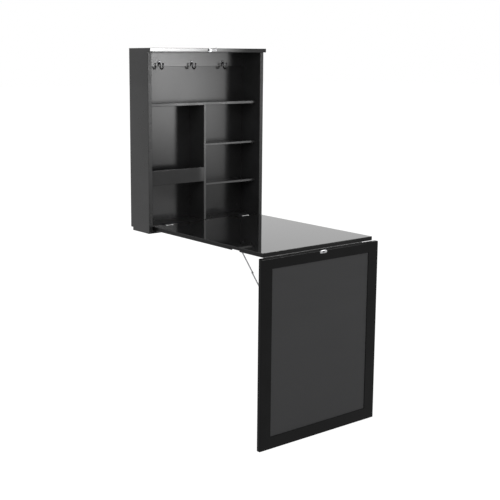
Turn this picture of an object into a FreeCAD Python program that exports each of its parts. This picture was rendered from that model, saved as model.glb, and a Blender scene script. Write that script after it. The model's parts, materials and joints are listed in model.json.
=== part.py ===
import FreeCAD, Part
import math
import os

# Fold-down wall desk: a shallow wall cabinet with a flap that swings down to a desk top, carried
# at its outer end by a framed chalkboard panel that folds flat under the flap.
# Millimetres. X runs along the wall, -Y points into the room, +Z is up. While the pieces are
# drawn, Z = 0 is the floor; save() moves them so that the origin is the middle of the four
# wall fixings, on the wall plane.

Vec = FreeCAD.Vector

# ---------------------------------------------------------------- driving dimensions: cabinet
cabinet_width = 600.0
cabinet_inner_height = 702.0
side_depth = 135.0
side_thickness = 18.0
top_thickness = 16.0
top_overhang = 17.0
floor_thickness = 16.0
back_thickness = 3.0
wall_rail_thickness = 7.0
upper_wall_rail_height = 60.0
lower_wall_rail_height = 60.0
hook_rail_thickness = 9.0
hook_rail_height = 58.0
skirting_notch_depth = 15.0
skirting_notch_height = 13.0
ledge_depth = 60.0
ledge_thickness = 11.6
board_ease = 1.0

# ---------------------------------------------------------------- driving dimensions: fittings inside
long_shelf_height = 496.5
long_shelf_thickness = 12.0
long_shelf_setback = 27.0
divider_thickness = 12.0
divider_setback = 21.0
short_shelf_heights = (323.0, 155.0)
short_shelf_thickness = 10.0
short_shelf_setback = 29.0
shelf_end_gap = 0.5
shelf_ease = 2.0
bar_clearance = 164.0
bar_height = 60.0
bar_thickness = 12.0
pin_radius = 2.5
pin_length = 14.0
pin_seat_depth = 6.0
pin_edge_distance = 20.0

# ---------------------------------------------------------------- driving dimensions: desk top
desk_height = 730.0
desk_thickness = 16.0
desk_side_gap = 5.0
desk_end_gap = 3.0
desk_seam = 1.0
desk_ease = 1.2
axis_rise = 1.0

# ---------------------------------------------------------------- driving dimensions: leg panel
leg_width = 590.0
leg_thickness = 16.0
leg_top_gap = 1.4
leg_ease = 1.5
leg_top_ease = 4.0
stile_width = 51.0
top_rail_height = 40.0
bottom_rail_height = 46.0
board_recess = 2.5
board_thickness = 5.0
board_tongue = 8.0
fold_gap = 0.6

# ---------------------------------------------------------------- driving dimensions: desk hinges
desk_hinge_centre = 202.0
desk_hinge_length = 38.0
desk_hinge_leaf = 28.0
desk_hinge_screw_reach = 22.0
desk_hinge_screw_spacing = 27.0
desk_hinge_leaf_thickness = 1.4
desk_barrel_radius = 2.2
desk_hinge_pin_radius = 1.0
finial_radius = 2.6
finial_reach_share = 0.8
hinge_screw_radius = 1.5
hinge_screw_length = 11.0

# ---------------------------------------------------------------- driving dimensions: leg hinge
leg_hinge_length = 492.0
leg_hinge_centre = -26.0
leg_hinge_knuckles = 20
leg_hinge_leaf = 20.0
leg_hinge_leaf_thickness = 1.2
leg_barrel_radius = 2.3
leg_hinge_pin_radius = 1.0
leg_hinge_screw_count = 7

# ---------------------------------------------------------------- driving dimensions: folding stays
stay_desk_distance = 128.0
stay_leg_distance = 132.0
stay_axis_offset = 3.3
stay_half_width = 2.7
stay_plate = 2.0
stay_gap = 0.3
stay_edge_inset = 4.0
stay_rivet_radius = 1.5
stay_head_radius = 3.3
stay_head_height = 1.2
stay_groove_depth = 7.0
stay_rivet_head_radius = 2.3
desk_bracket_length = 14.0
desk_bracket_base = 14.0
desk_bracket_foot = 1.4
desk_bracket_drop = 4.0
leg_bracket_length = 44.0
leg_bracket_proud = 5.6

# ---------------------------------------------------------------- driving dimensions: hooks and catch
hook_spacing = 166.0
hook_headroom = 42.0
hook_plate_radius = 8.0
hook_plate_thickness = 2.4
hook_rod_radius = 2.8
hook_neck = 5.0
hook_drop = 11.0
hook_bend_radius = 10.5
hook_rise = 11.0
hook_tip_radius = 3.8
hook_stud_radius = 1.8
hook_stud_length = 9.0

catch_x = -5.0
catch_plate_radius = 7.0
catch_plate_thickness = 2.0
catch_pivot_radius = 2.2
catch_boss_radius = 5.5
catch_arm_length = 33.0
catch_arm_width = 9.0
catch_arm_thickness = 2.4
catch_lift = 1.6
catch_stud_length = 14.0
catch_thumb_height = 11.0
catch_thumb_width = 7.0
keeper_x = 3.5
keeper_length = 36.0
keeper_height = 12.0
keeper_thickness = 2.0
keeper_drop = 7.2
keeper_slot_length = 9.0
keeper_slot_height = 4.4
keeper_screw_spacing = 25.0

# ---------------------------------------------------------------- driving dimensions: fixings
dowel_radius = 4.0
dowel_length = 28.0
dowel_end_depth = 18.0
small_dowel_radius = 3.0
small_dowel_length = 18.0
small_dowel_end_depth = 12.0
rail_dowel_radius = 2.0
dowel_places = (0.25, 0.75)
wall_hole_radius = 2.75
wall_hole_edge = 20.0

# ---------------------------------------------------------------- clearances
running_gap = 0.05
seat_gap = 0.05
open_gap = 0.3
turn_gap = 0.4
knuckle_gap = 0.2
overrun = 1.0

# ---------------------------------------------------------------- worked out
half_width = cabinet_width / 2
inner_half = half_width - side_thickness
top_underside = desk_height + cabinet_inner_height
cabinet_top = top_underside + top_thickness
desk_underside = desk_height - desk_thickness
ledge_top = desk_underside - turn_gap
cabinet_bottom = ledge_top - ledge_thickness
long_shelf_top = desk_height + long_shelf_height
short_shelf_tops = [desk_height + height for height in short_shelf_heights]
bar_bottom = desk_height + bar_clearance
hook_height = top_underside - hook_headroom
front = -side_depth
top_front = front - top_overhang
back_front = -(wall_rail_thickness + back_thickness)
hook_rail_front = back_front - hook_rail_thickness

# The flap's axis: closed, its underside is flush with the front edges of the side panels.
axis_y = front + desk_thickness + axis_rise
axis_z = desk_height + axis_rise
desk_back = axis_y - desk_seam / 2
floor_front = axis_y + desk_seam / 2
desk_length = top_underside - desk_end_gap - axis_z
desk_end = axis_y - desk_length
desk_half = inner_half - desk_side_gap

# The leg's axis: midway between the flap's underside and the leg's back, so they close fold_gap apart.
leg_axis_y = desk_end
leg_axis_z = desk_underside - fold_gap / 2
leg_back = leg_axis_y - fold_gap / 2
leg_front = leg_back - leg_thickness
leg_top = desk_underside - leg_top_gap
leg_hinge_left = leg_hinge_centre - leg_hinge_length / 2
leg_hinge_right = leg_hinge_centre + leg_hinge_length / 2
leg_half = leg_width / 2
leg_inner_half = leg_half - stile_width

fixing_upper_z = top_underside - hook_rail_height / 2
fixing_lower_z = desk_height + lower_wall_rail_height / 2
fixing_half_span = inner_half - wall_hole_edge
origin_z = (fixing_upper_z + fixing_lower_z) / 2


# ---------------------------------------------------------------- helpers
def block(x0, x1, y0, y1, z0, z1):
    return Part.makeBox(x1 - x0, y1 - y0, z1 - z0, Vec(x0, y0, z0))


def rod(start, direction, radius, length):
    return Part.makeCylinder(radius, length, Vec(*start), Vec(*direction))


def ball(centre, radius):
    return Part.makeSphere(radius, Vec(*centre))


def united(shapes):
    return shapes[0].multiFuse(shapes[1:]).removeSplitter()


def mirrored(shape):
    return shape.mirror(Vec(0, 0, 0), Vec(1, 0, 0))


def near(value, target):
    return abs(value - target) < 1e-6


def eased(shape, radius, keep):
    """Round every straight edge for which keep(edge's bounding box) is true."""
    edges = [edge for edge in shape.Edges if keep(edge.BoundBox)]
    return shape.makeFillet(radius, edges) if edges else shape


def along_x(y, z):
    """Edges that run along X through (y, z)."""
    return lambda box: on_front(y)(box) and near(box.ZMin, z) and near(box.ZMax, z)


def on_front(y):
    """Edges that lie on the plane Y = y."""
    return lambda box: near(box.YMin, y) and near(box.YMax, y)


def save(name, shapes):
    """Write one node: a solid, or a group of separate solids."""
    solids = [solid for shape in shapes for solid in shape.Solids]
    for solid in solids:
        if not solid.isValid() or not solid.isClosed():
            raise ValueError(name + " is not a closed solid")
    part = solids[0] if len(solids) == 1 else Part.makeCompound(solids)
    part.translate(Vec(0, 0, -origin_z))
    part.exportStep("parts/" + name + ".step")
    print(name, len(solids), "solids", round(part.Volume / 1000.0, 3), "cm3")


# ---------------------------------------------------------------- cabinet boards
def side_panel():
    """The left side; the right one is its mirror image."""
    panel = block(-half_width, -inner_half, front, 0, cabinet_bottom, top_underside)
    panel = eased(panel, board_ease, on_front(front))
    notch_top = cabinet_bottom + skirting_notch_height
    notch = block(-half_width - overrun, -inner_half + overrun, -skirting_notch_depth, overrun,
                  cabinet_bottom - overrun, notch_top)
    return panel.cut(notch)


def top_board():
    board = block(-half_width, half_width, top_front, 0, top_underside, cabinet_top)
    return eased(board, board_ease, on_front(top_front))


def floor_board():
    return block(-inner_half, inner_half, floor_front, back_front, desk_underside, desk_height)


def desk_ledge():
    """The rail under the floor board whose front part carries the open flap."""
    rail = block(-inner_half, inner_half, front, front + ledge_depth, cabinet_bottom, ledge_top)
    return eased(rail, board_ease, on_front(front))


def back_panel():
    bottom = cabinet_bottom + skirting_notch_height
    return block(-inner_half, inner_half, back_front, -wall_rail_thickness, bottom, top_underside)


def wall_rail(bottom, height):
    return block(-inner_half, inner_half, -wall_rail_thickness, 0, bottom, bottom + height)


def hook_rail():
    bottom = top_underside - hook_rail_height
    rail = block(-inner_half, inner_half, hook_rail_front, back_front, bottom, top_underside)
    edge = lambda box: on_front(hook_rail_front)(box) and near(box.ZMax, bottom)
    return eased(rail, board_ease, edge)


def long_shelf():
    shelf_front = front + long_shelf_setback
    shelf = block(-inner_half, inner_half, shelf_front, back_front,
                  long_shelf_top - long_shelf_thickness, long_shelf_top)
    return eased(shelf, shelf_ease, lambda box: on_front(shelf_front)(box) and box.XLength > overrun)


def divider():
    edge = front + divider_setback
    board = block(-divider_thickness / 2, divider_thickness / 2, edge, back_front,
                  desk_height, long_shelf_top - long_shelf_thickness)
    return eased(board, board_ease, lambda box: on_front(edge)(box) and box.ZLength > overrun)


def short_shelf(top):
    shelf_front = front + short_shelf_setback
    shelf = block(divider_thickness / 2 + shelf_end_gap, inner_half - shelf_end_gap, shelf_front,
                  back_front, top - short_shelf_thickness, top)
    return eased(shelf, shelf_ease, lambda box: on_front(shelf_front)(box) and box.XLength > overrun)


def retaining_bar():
    bar_front = front + divider_setback
    bar = block(-inner_half, -divider_thickness / 2, bar_front, bar_front + bar_thickness,
                bar_bottom, bar_bottom + bar_height)
    return eased(bar, board_ease, lambda box: on_front(bar_front)(box) and box.XLength > overrun)


# ---------------------------------------------------------------- dowels and pins
def add_dowel(boards, dowels, names, point, direction, radius, length, depth):
    """Seat a dowel at point, depth deep along direction, and drill the two boards it joins."""
    axis = Vec(*direction)
    start = Vec(*point) - axis * (length - depth)
    dowels.append(Part.makeCylinder(radius, length, start, axis))
    hole = Part.makeCylinder(radius + seat_gap, length + 2 * seat_gap, start - axis * seat_gap, axis)
    for name in names:
        boards[name] = boards[name].cut(hole)


def dowel_lines(start, length):
    """The places along a joint where its dowels sit."""
    return [start + length * place for place in dowel_places]


def add_cabinet_dowels(boards):
    large, small = [], []
    sizes = (dowel_radius, dowel_length, dowel_end_depth)
    small_sizes = (small_dowel_radius, small_dowel_length, small_dowel_end_depth)
    rail_sizes = (rail_dowel_radius, small_dowel_length, small_dowel_end_depth)
    floor_middle = desk_height - floor_thickness / 2
    shelf_middle = long_shelf_top - long_shelf_thickness / 2
    ledge_middle = ledge_top - ledge_thickness / 2
    shelf_front = front + long_shelf_setback
    divider_front = front + divider_setback
    for side, name in ((-1, "left_side_panel"), (1, "right_side_panel")):
        inward = (-side, 0, 0)
        face = side * inner_half
        panel_middle = side * (half_width - side_thickness / 2)
        for y in dowel_lines(front, side_depth):
            add_dowel(boards, large, ("top_board", name), (panel_middle, y, top_underside),
                      (0, 0, -1), *sizes)
        for y in dowel_lines(floor_front, back_front - floor_front):
            add_dowel(boards, large, ("floor_board", name), (face, y, floor_middle), inward, *sizes)
        for y in dowel_lines(shelf_front, back_front - shelf_front):
            add_dowel(boards, small, ("long_shelf", name), (face, y, shelf_middle), inward, *small_sizes)
        for y in dowel_lines(front, ledge_depth):
            add_dowel(boards, small, ("desk_ledge", name), (face, y, ledge_middle), inward, *small_sizes)
        for rail, bottom, height in (
                ("upper_wall_rail", top_underside - upper_wall_rail_height, upper_wall_rail_height),
                ("lower_wall_rail", desk_height, lower_wall_rail_height)):
            for z in dowel_lines(bottom, height):
                add_dowel(boards, small, (rail, name), (face, -wall_rail_thickness / 2, z), inward,
                          *rail_sizes)
    for y in dowel_lines(divider_front, back_front - divider_front):
        add_dowel(boards, small, ("divider", "floor_board"), (0, y, desk_height), (0, 0, 1), *small_sizes)
        add_dowel(boards, small, ("divider", "long_shelf"),
                  (0, y, long_shelf_top - long_shelf_thickness), (0, 0, -1), *small_sizes)
    bar_y = divider_front + bar_thickness / 2
    for z in dowel_lines(bar_bottom, bar_height):
        add_dowel(boards, small, ("retaining_bar", "left_side_panel"), (-inner_half, bar_y, z),
                  (1, 0, 0), *small_sizes)
        add_dowel(boards, small, ("retaining_bar", "divider"), (-divider_thickness / 2, bar_y, z),
                  (-1, 0, 0), *small_sizes)
    return large, small


def add_shelf_pins(boards):
    """Four pins under each short shelf: two in the right side panel, two in the divider."""
    pins = []
    for top in short_shelf_tops:
        z = top - short_shelf_thickness - pin_radius - seat_gap
        for y in (front + short_shelf_setback + pin_edge_distance, back_front - pin_edge_distance):
            for name, face, direction in (("right_side_panel", inner_half, 1),
                                          ("divider", divider_thickness / 2, -1)):
                start = face - direction * (pin_length - pin_seat_depth)
                pins.append(rod((start, y, z), (direction, 0, 0), pin_radius, pin_length))
                hole = rod((start, y, z), (direction, 0, 0), pin_radius + seat_gap, pin_length + seat_gap)
                boards[name] = boards[name].cut(hole)
    return pins


def drill_wall_holes(boards):
    """Four holes for the wall screws, through the rails, the back panel and the hook rail."""
    for x in (-fixing_half_span, fixing_half_span):
        upper = rod((x, overrun, fixing_upper_z), (0, -1, 0), wall_hole_radius,
                    -hook_rail_front + 2 * overrun)
        lower = rod((x, overrun, fixing_lower_z), (0, -1, 0), wall_hole_radius,
                    -back_front + 2 * overrun)
        for name in ("upper_wall_rail", "back_panel", "hook_rail"):
            boards[name] = boards[name].cut(upper)
        for name in ("lower_wall_rail", "back_panel"):
            boards[name] = boards[name].cut(lower)


# ---------------------------------------------------------------- hinge parts
def desk_hinge_spans(centre):
    """The barrels of one desk hinge: outer two on the cabinet leaf, middle one on the desk leaf."""
    third = desk_hinge_length / 3
    start = centre - desk_hinge_length / 2
    spans = [(start + third * i, start + third * (i + 1)) for i in range(3)]
    trim = knuckle_gap / 2
    return [(a + trim, b - trim) for a, b in spans]


def desk_hinge_leaf_part(centre, spans, side):
    """One leaf with its barrels; side is +1 for the cabinet's leaf and -1 for the desk's leaf."""
    top = desk_height
    bottom = desk_height - desk_hinge_leaf_thickness
    clear = desk_barrel_radius + turn_gap
    near_y = axis_y + side * clear
    reach = sorted((near_y, axis_y + side * desk_hinge_leaf))
    half = desk_hinge_length / 2
    pieces = [block(centre - half, centre + half, *reach, bottom, top)]
    for a, b in spans:
        pieces.append(rod((a, axis_y, axis_z), (1, 0, 0), desk_barrel_radius, b - a))
        neck = sorted((axis_y + side * desk_seam, near_y))
        pieces.append(block(a, b, *neck, bottom, top))
    leaf = united(pieces)
    bore = rod((centre - desk_hinge_length, axis_y, axis_z), (1, 0, 0),
               desk_hinge_pin_radius + running_gap, 2 * desk_hinge_length)
    return leaf.cut(bore)


def desk_hinge_pin(centre):
    half = desk_hinge_length / 2
    reach = half + finial_radius * finial_reach_share
    parts = [rod((centre - reach, axis_y, axis_z), (1, 0, 0), desk_hinge_pin_radius, 2 * reach)]
    for x in (centre - reach, centre + reach):
        parts.append(ball((x, axis_y, axis_z), finial_radius))
    pin = united(parts)
    inner = block(centre - half, centre + half, axis_y - finial_radius, axis_y + finial_radius,
                  axis_z - finial_radius, axis_z + finial_radius)
    keep = rod((centre - half - overrun, axis_y, axis_z), (1, 0, 0), desk_hinge_pin_radius,
               desk_hinge_length + 2 * overrun)
    return pin.cut(inner.cut(keep))


def desk_hinge_recess(centre):
    """What one desk hinge takes out of the floor board and the desk top."""
    half = desk_hinge_length / 2
    leaves = block(centre - half - seat_gap, centre + half + seat_gap,
                   axis_y - desk_hinge_leaf - seat_gap, axis_y + desk_hinge_leaf + seat_gap,
                   desk_height - desk_hinge_leaf_thickness, desk_height + overrun)
    reach = half + finial_radius * 2
    trough = rod((centre - reach, axis_y, axis_z), (1, 0, 0), finial_radius + turn_gap, 2 * reach)
    return leaves.fuse(trough)


def countersunk(x, y, z, direction, radius, length):
    """A countersunk wood screw whose head's face is at the point and whose shank runs along direction."""
    axis = Vec(*direction)
    head_height = radius
    point = Vec(x, y, z)
    head = Part.makeCone(2 * radius, radius, head_height, point, axis)
    shank = Part.makeCylinder(radius, length - head_height - 2 * radius, point + axis * head_height, axis)
    tip = Part.makeCone(radius, radius * 0.2, 2 * radius, point + axis * (length - 2 * radius), axis)
    return united([head, shank, tip])


def screw_hole(x, y, z, direction, radius, length):
    """The space of a countersunk screw, with seat_gap all round."""
    axis = Vec(*direction)
    point = Vec(x, y, z)
    wide = Part.makeCylinder(2 * radius + seat_gap, overrun, point - axis * overrun, axis)
    cone = Part.makeCone(2 * radius + seat_gap, radius + seat_gap, radius, point, axis)
    shank = Part.makeCylinder(radius + seat_gap, length - radius + seat_gap, point + axis * radius, axis)
    return united([wide, cone, shank])


def desk_hinge_screw_points(side):
    """Two screws in each leaf, for both hinges."""
    y = axis_y + side * desk_hinge_screw_reach
    offset = desk_hinge_screw_spacing / 2
    return [(centre + dx, y, desk_height) for centre in (-desk_hinge_centre, desk_hinge_centre)
            for dx in (-offset, offset)]


def leg_hinge_spans(first):
    pitch = leg_hinge_length / leg_hinge_knuckles
    trim = knuckle_gap / 2
    return [(leg_hinge_left + pitch * i + trim, leg_hinge_left + pitch * (i + 1) - trim)
            for i in range(first, leg_hinge_knuckles, 2)]


def leg_hinge_bore():
    return rod((leg_hinge_left - overrun, leg_axis_y, leg_axis_z), (1, 0, 0),
               leg_hinge_pin_radius + running_gap, leg_hinge_length + 2 * overrun)


def leg_hinge_desk_leaf():
    clear = leg_barrel_radius + turn_gap
    top = desk_underside + leg_hinge_leaf_thickness
    pieces = [block(leg_hinge_left, leg_hinge_right, leg_axis_y + clear, leg_axis_y + leg_hinge_leaf,
                    desk_underside, top)]
    for a, b in leg_hinge_spans(0):
        pieces.append(rod((a, leg_axis_y, leg_axis_z), (1, 0, 0), leg_barrel_radius, b - a))
        pieces.append(block(a, b, leg_axis_y, leg_axis_y + clear, desk_underside, top))
    return united(pieces).cut(leg_hinge_bore())


def leg_hinge_leg_leaf():
    clear = leg_barrel_radius + turn_gap
    face = leg_back - leg_hinge_leaf_thickness
    pieces = [block(leg_hinge_left, leg_hinge_right, face, leg_back, leg_axis_z - leg_hinge_leaf,
                    leg_axis_z - clear)]
    for a, b in leg_hinge_spans(1):
        pieces.append(rod((a, leg_axis_y, leg_axis_z), (1, 0, 0), leg_barrel_radius, b - a))
        pieces.append(block(a, b, face, leg_back, leg_axis_z - clear, leg_axis_z))
    return united(pieces).cut(leg_hinge_bore())


def leg_hinge_screw_xs():
    pitch = leg_hinge_length / leg_hinge_screw_count
    return [leg_hinge_left + pitch * (i + 0.5) for i in range(leg_hinge_screw_count)]


def leg_hinge_trough():
    """The room for the barrel, in the flap and in the leg."""
    return rod((leg_hinge_left - open_gap, leg_axis_y, leg_axis_z), (1, 0, 0), leg_barrel_radius + open_gap,
               leg_hinge_length + 2 * open_gap)


# ---------------------------------------------------------------- folding stays
stay_desk_y = leg_axis_y + stay_desk_distance
stay_desk_z = leg_axis_z + stay_axis_offset
stay_leg_y = leg_axis_y + stay_axis_offset
stay_leg_z = leg_axis_z - stay_leg_distance
stay_span = math.hypot(stay_desk_y - stay_leg_y, stay_desk_z - stay_leg_z)
stay_upper_length = (stay_span + stay_leg_distance - stay_desk_distance) / 2
stay_lower_length = stay_span - stay_upper_length
stay_slope = math.atan2(stay_desk_z - stay_leg_z, stay_desk_y - stay_leg_y)
stay_mid_y = stay_desk_y - stay_upper_length * math.cos(stay_slope)
stay_mid_z = stay_desk_z - stay_upper_length * math.sin(stay_slope)

# From the outer side inwards: the leg bracket's ear, the lower arm, the upper arm, the desk bracket's ear.
leg_ear_x = -desk_half + stay_edge_inset
lower_arm_x = leg_ear_x + stay_plate + stay_gap
upper_arm_x = lower_arm_x + stay_plate + stay_gap
desk_ear_x = upper_arm_x + stay_plate + stay_gap
stay_fold_distance = stay_desk_distance + stay_upper_length


def stay_arm(x, start, end, bored):
    """A flat arm with round ends between two points of the plane X = x, bored at the point bored."""
    dy, dz = end[0] - start[0], end[1] - start[1]
    length = math.hypot(dy, dz)
    side = Vec(0, -dz / length * stay_half_width, dy / length * stay_half_width)
    a, b = Vec(x, *start), Vec(x, *end)
    outline = Part.makePolygon([a + side, b + side, b - side, a - side, a + side])
    bar = Part.Face(outline).extrude(Vec(stay_plate, 0, 0))
    ends = [rod((x, *p), (1, 0, 0), stay_half_width, stay_plate) for p in (start, end)]
    arm = united([bar] + ends)
    hole = rod((x - overrun, *bored), (1, 0, 0), stay_rivet_radius + running_gap,
               stay_plate + 2 * overrun)
    return arm.cut(hole)


def upper_arm():
    """The arm on the desk bracket, with the inner half of the middle rivet."""
    middle = (stay_mid_y, stay_mid_z)
    arm = stay_arm(upper_arm_x, (stay_desk_y, stay_desk_z), middle, (stay_desk_y, stay_desk_z))
    head = rod((upper_arm_x, *middle), (1, 0, 0), stay_head_radius, stay_plate + stay_head_height)
    return united([arm, head])


def lower_arm():
    """The arm on the leg bracket, with the outer half of the middle rivet."""
    middle = (stay_mid_y, stay_mid_z)
    arm = stay_arm(lower_arm_x, (stay_leg_y, stay_leg_z), middle, (stay_leg_y, stay_leg_z))
    head = rod((lower_arm_x - stay_head_height, *middle), (1, 0, 0), stay_head_radius,
               stay_plate + stay_head_height)
    return united([arm, head])


def desk_bracket():
    """An ear for the upper arm, on a foot against the roof of the groove in the desk top."""
    roof = desk_underside + stay_groove_depth
    low_y = stay_desk_y - desk_bracket_length / 2
    high_y = low_y + desk_bracket_length
    ear = block(desk_ear_x, desk_ear_x + stay_plate, low_y, high_y, desk_underside - desk_bracket_drop, roof)
    foot = block(desk_ear_x, desk_ear_x + desk_bracket_base, low_y, high_y, roof - desk_bracket_foot, roof)
    hole = rod((desk_ear_x - overrun, stay_desk_y, stay_desk_z), (1, 0, 0),
               stay_rivet_radius + seat_gap, stay_plate + 2 * overrun)
    return united([ear, foot]).cut(hole)


def leg_bracket():
    """A block on the leg's back, whose ear stands beside the lower arm."""
    top = stay_leg_z + stay_half_width
    low = top - leg_bracket_length
    body = block(-desk_half, leg_ear_x + stay_plate, leg_back, leg_back + leg_bracket_proud, low, top)
    hole = rod((-desk_half - overrun, stay_leg_y, stay_leg_z), (1, 0, 0),
               stay_rivet_radius + seat_gap, leg_ear_x + stay_plate + desk_half + 2 * overrun)
    return body.cut(hole)


def desk_rivet():
    """Holds the upper arm on the desk bracket: flush with the arm, with a head inside the ear."""
    shank = rod((upper_arm_x, stay_desk_y, stay_desk_z), (1, 0, 0), stay_rivet_radius,
                2 * stay_plate + stay_gap)
    head = rod((desk_ear_x + stay_plate, stay_desk_y, stay_desk_z), (1, 0, 0),
               stay_rivet_head_radius, stay_head_height)
    return united([shank, head])


def leg_rivet():
    """Holds the lower arm on the leg bracket: flush with the arm and with the bracket."""
    return rod((-desk_half, stay_leg_y, stay_leg_z), (1, 0, 0), stay_rivet_radius,
               lower_arm_x + stay_plate + desk_half)


def stay_groove():
    """The groove in the desk top's underside that takes the folded stay."""
    roof = desk_underside + stay_groove_depth
    bracket_half = desk_bracket_length / 2 + open_gap
    far_y = leg_axis_y + stay_fold_distance + stay_head_radius + overrun
    long_part = block(leg_ear_x - open_gap, desk_ear_x + stay_plate + stay_head_height + open_gap,
                      stay_desk_y - bracket_half, far_y, desk_underside - overrun, roof)
    foot_part = block(desk_ear_x, desk_ear_x + desk_bracket_base + seat_gap, stay_desk_y - bracket_half,
                      stay_desk_y + bracket_half, desk_underside - overrun, roof)
    notch_low = leg_axis_y + stay_leg_distance - stay_half_width - overrun
    notch = block(-desk_half - overrun, leg_ear_x + stay_plate + open_gap, notch_low,
                  notch_low + leg_bracket_length + 2 * overrun, desk_underside - overrun, roof)
    return united([long_part, foot_part, notch])


def bracket_pocket():
    """The pocket in the leg stile's back that takes the desk bracket's ear when the leg is folded."""
    middle = leg_axis_z - stay_desk_distance
    half = desk_bracket_length / 2 + overrun
    return block(desk_ear_x - open_gap, desk_ear_x + stay_plate + stay_head_height + open_gap,
                 leg_back - desk_bracket_drop, leg_back + overrun, middle - half, middle + half)


# ---------------------------------------------------------------- desk top and leg panel
def desk_top():
    board = block(-desk_half, desk_half, desk_end, desk_back, desk_underside, desk_height)
    outer = lambda box: not near(box.YMin, desk_back)
    board = eased(board, desk_ease, outer)
    for centre in (-desk_hinge_centre, desk_hinge_centre):
        board = board.cut(desk_hinge_recess(centre))
    leaf = block(leg_hinge_left - open_gap, leg_hinge_right + open_gap, leg_axis_y - overrun,
                 leg_axis_y + leg_hinge_leaf + seat_gap, desk_underside - overrun,
                 desk_underside + leg_hinge_leaf_thickness)
    board = board.cut(leaf.fuse(leg_hinge_trough()))
    groove = stay_groove()
    return board.cut(groove).cut(mirrored(groove))


def stile():
    """The left stile, with a groove for the chalkboard; the right one is its mirror image."""
    post = block(-leg_half, -leg_inner_half, leg_front, leg_back, 0, leg_top)
    post = eased(post, leg_top_ease, along_x(leg_front, leg_top))
    outer = lambda box: near(box.XMax, -leg_half) and near(box.YMin, box.YMax)
    post = eased(post, leg_ease, outer)
    return post.cut(board_groove()).cut(bracket_pocket())


def leg_rail(bottom, top):
    rail = block(-leg_inner_half, leg_inner_half, leg_front, leg_back, bottom, top)
    rail = eased(rail, leg_top_ease, along_x(leg_front, leg_top))
    return rail.cut(board_groove())


def board_groove():
    return block(-leg_inner_half - board_tongue - seat_gap, leg_inner_half + board_tongue + seat_gap,
                 leg_front + board_recess, leg_front + board_recess + board_thickness,
                 bottom_rail_height - board_tongue - seat_gap,
                 leg_top - top_rail_height + board_tongue + seat_gap)


def chalkboard():
    return block(-leg_inner_half - board_tongue, leg_inner_half + board_tongue,
                 leg_front + board_recess, leg_front + board_recess + board_thickness,
                 bottom_rail_height - board_tongue, leg_top - top_rail_height + board_tongue)


def leg_leaf_recess():
    """The recess in the leg's top rail and stiles for the leg leaf of the long hinge and its barrel."""
    leaf = block(leg_hinge_left - seat_gap, leg_hinge_right + seat_gap, leg_back - leg_hinge_leaf_thickness,
                 leg_back + overrun, leg_axis_z - leg_hinge_leaf - seat_gap, leg_axis_z)
    return leaf.fuse(leg_hinge_trough())


# ---------------------------------------------------------------- hooks
def coat_hook(x):
    """A round plate and a bent rod that drops, turns up again and ends in a ball."""
    plate_face = hook_rail_front - hook_plate_thickness
    plate = rod((x, hook_rail_front, hook_height), (0, -1, 0), hook_plate_radius, hook_plate_thickness)
    plate = eased(plate, hook_plate_thickness / 2,
                  lambda box: near(box.YMax, plate_face) and near(box.YMin, plate_face))
    down_y = plate_face - hook_neck
    bend_z = hook_height - hook_neck - hook_drop
    start = Vec(x, plate_face + hook_plate_thickness / 2, hook_height)
    corner = Vec(x, plate_face, hook_height)
    neck_middle = Vec(x, down_y + hook_neck * (1 - math.sin(math.pi / 4)),
                      hook_height - hook_neck * (1 - math.cos(math.pi / 4)))
    neck_end = Vec(x, down_y, hook_height - hook_neck)
    bend_start = Vec(x, down_y, bend_z)
    bend_middle = Vec(x, down_y - hook_bend_radius, bend_z - hook_bend_radius)
    bend_end = Vec(x, down_y - 2 * hook_bend_radius, bend_z)
    tip = Vec(x, down_y - 2 * hook_bend_radius, bend_z + hook_rise)
    path = Part.Wire([
        Part.LineSegment(start, corner).toShape(),
        Part.Arc(corner, neck_middle, neck_end).toShape(),
        Part.LineSegment(neck_end, bend_start).toShape(),
        Part.Arc(bend_start, bend_middle, bend_end).toShape(),
        Part.LineSegment(bend_end, tip).toShape(),
    ])
    profile = Part.Wire(Part.makeCircle(hook_rod_radius, start, Vec(0, -1, 0)))
    bent = path.makePipeShell([profile], True, False)
    hook = united([plate, bent, ball((tip.x, tip.y, tip.z), hook_tip_radius)])
    return hook.cut(hook_stud(x, seat_gap))


def hook_stud(x, gap):
    """The stud that holds a hook: half in the hook's plate and the rest in the rail."""
    into_plate = hook_plate_thickness / 2
    return rod((x, hook_rail_front - into_plate - gap, hook_height), (0, 1, 0),
               hook_stud_radius + gap, hook_stud_length + 2 * gap)


# ---------------------------------------------------------------- catch
catch_z = cabinet_top - top_thickness / 2
catch_face = top_front - catch_plate_thickness
catch_arm_back = catch_face - catch_lift


def catch_plate():
    plate = rod((catch_x, top_front, catch_z), (0, -1, 0), catch_plate_radius, catch_plate_thickness)
    stud = rod((catch_x, top_front + catch_stud_length, catch_z), (0, -1, 0), catch_pivot_radius,
               catch_stud_length + catch_plate_thickness + catch_lift + catch_arm_thickness + overrun)
    head = rod((catch_x, catch_arm_back - catch_arm_thickness - open_gap, catch_z), (0, -1, 0),
               catch_boss_radius - overrun, overrun)
    boss = rod((catch_x, catch_face, catch_z), (0, -1, 0), catch_boss_radius, catch_lift - open_gap)
    return united([plate, stud, head, boss])


def catch_stud_hole():
    return rod((catch_x, top_front - overrun, catch_z), (0, 1, 0), catch_pivot_radius + seat_gap,
               overrun + catch_stud_length + seat_gap)


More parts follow.
